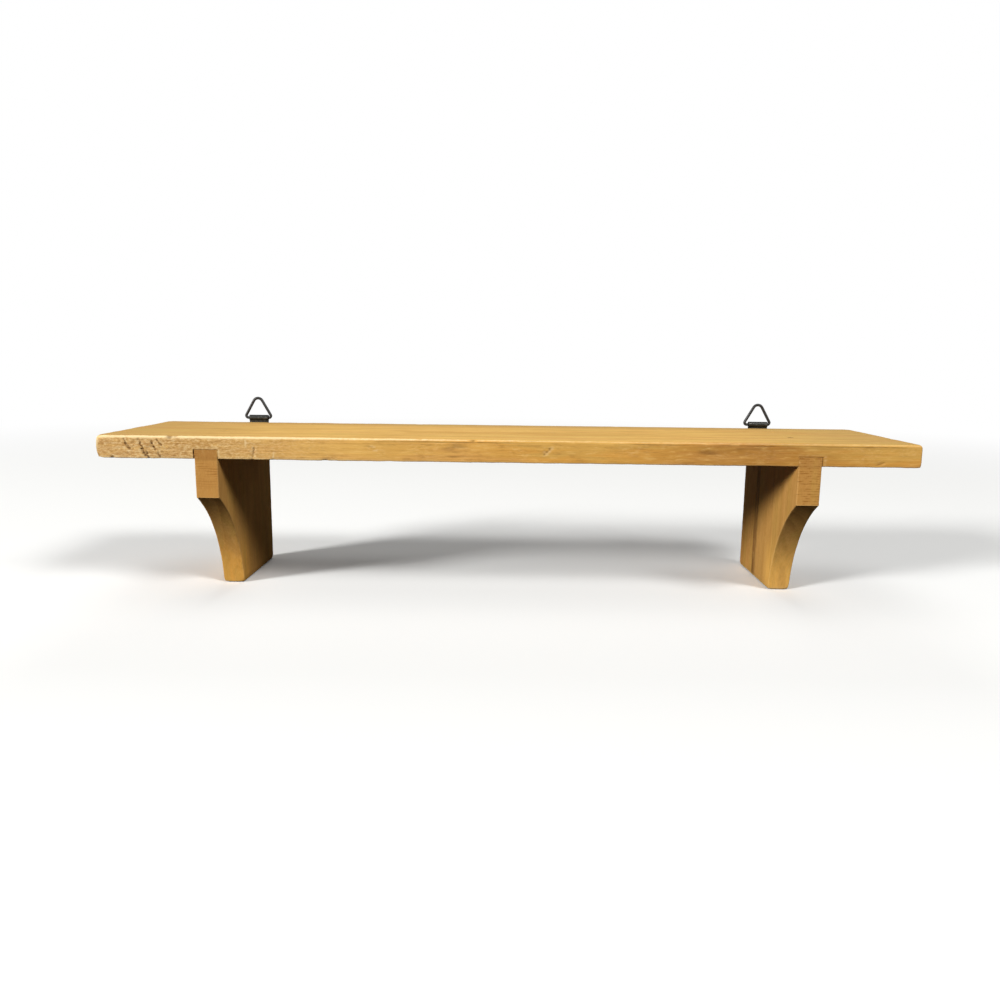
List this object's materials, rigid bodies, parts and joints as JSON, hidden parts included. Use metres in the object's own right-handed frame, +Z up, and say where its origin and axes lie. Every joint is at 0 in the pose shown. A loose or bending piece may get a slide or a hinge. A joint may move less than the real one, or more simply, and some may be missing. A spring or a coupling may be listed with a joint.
{
  "type": "trinket shelf",
  "caption": "Small pine display shelf: a plain board on cove-cut brackets housed in its underside, with triangular wire hanging rings behind the brackets.",
  "frame": {"origin": "on the surface that the feet stand on, under the middle of the whole piece", "axes": "+X along the board to the right as seen from the front, +Y to the back (wall side), +Z up"},
  "size_m": [0.4064, 0.0922, 0.0984],
  "materials": {
    "board_pine": "satin, honey stained",
    "bracket_pine": "satin, honey stained",
    "black_steel": "blackened, low sheen",
    "screw_steel": "dull",
    "nail_steel": "dull"
  },
  "bodies": {
    "shelf": {"shelf_board": "board_pine", "left_bracket": "bracket_pine", "right_bracket": "bracket_pine", "left_front_nail": "nail_steel", "left_rear_nail": "nail_steel", "right_front_nail": "nail_steel", "right_rear_nail": "nail_steel", "left_hanger_strap": "black_steel", "right_hanger_strap": "black_steel", "left_hanger_screw": "screw_steel", "right_hanger_screw": "screw_steel"},
    "left_ring": {"left_hanger_ring": "black_steel"},
    "right_ring": {"right_hanger_ring": "black_steel"}
  },
  "joints": [
    {"name": "left_ring_swing", "type": "hinge", "parent": "shelf", "child": "left_ring", "pos_m": [-0.1488, 0.0436, 0.086], "axis": [1, 0, 0], "range_deg": [-145, 94]},
    {"name": "right_ring_swing", "type": "hinge", "parent": "shelf", "child": "right_ring", "pos_m": [0.1488, 0.0436, 0.0855], "axis": [1, 0, 0], "range_deg": [-145, 94]}
  ]
}
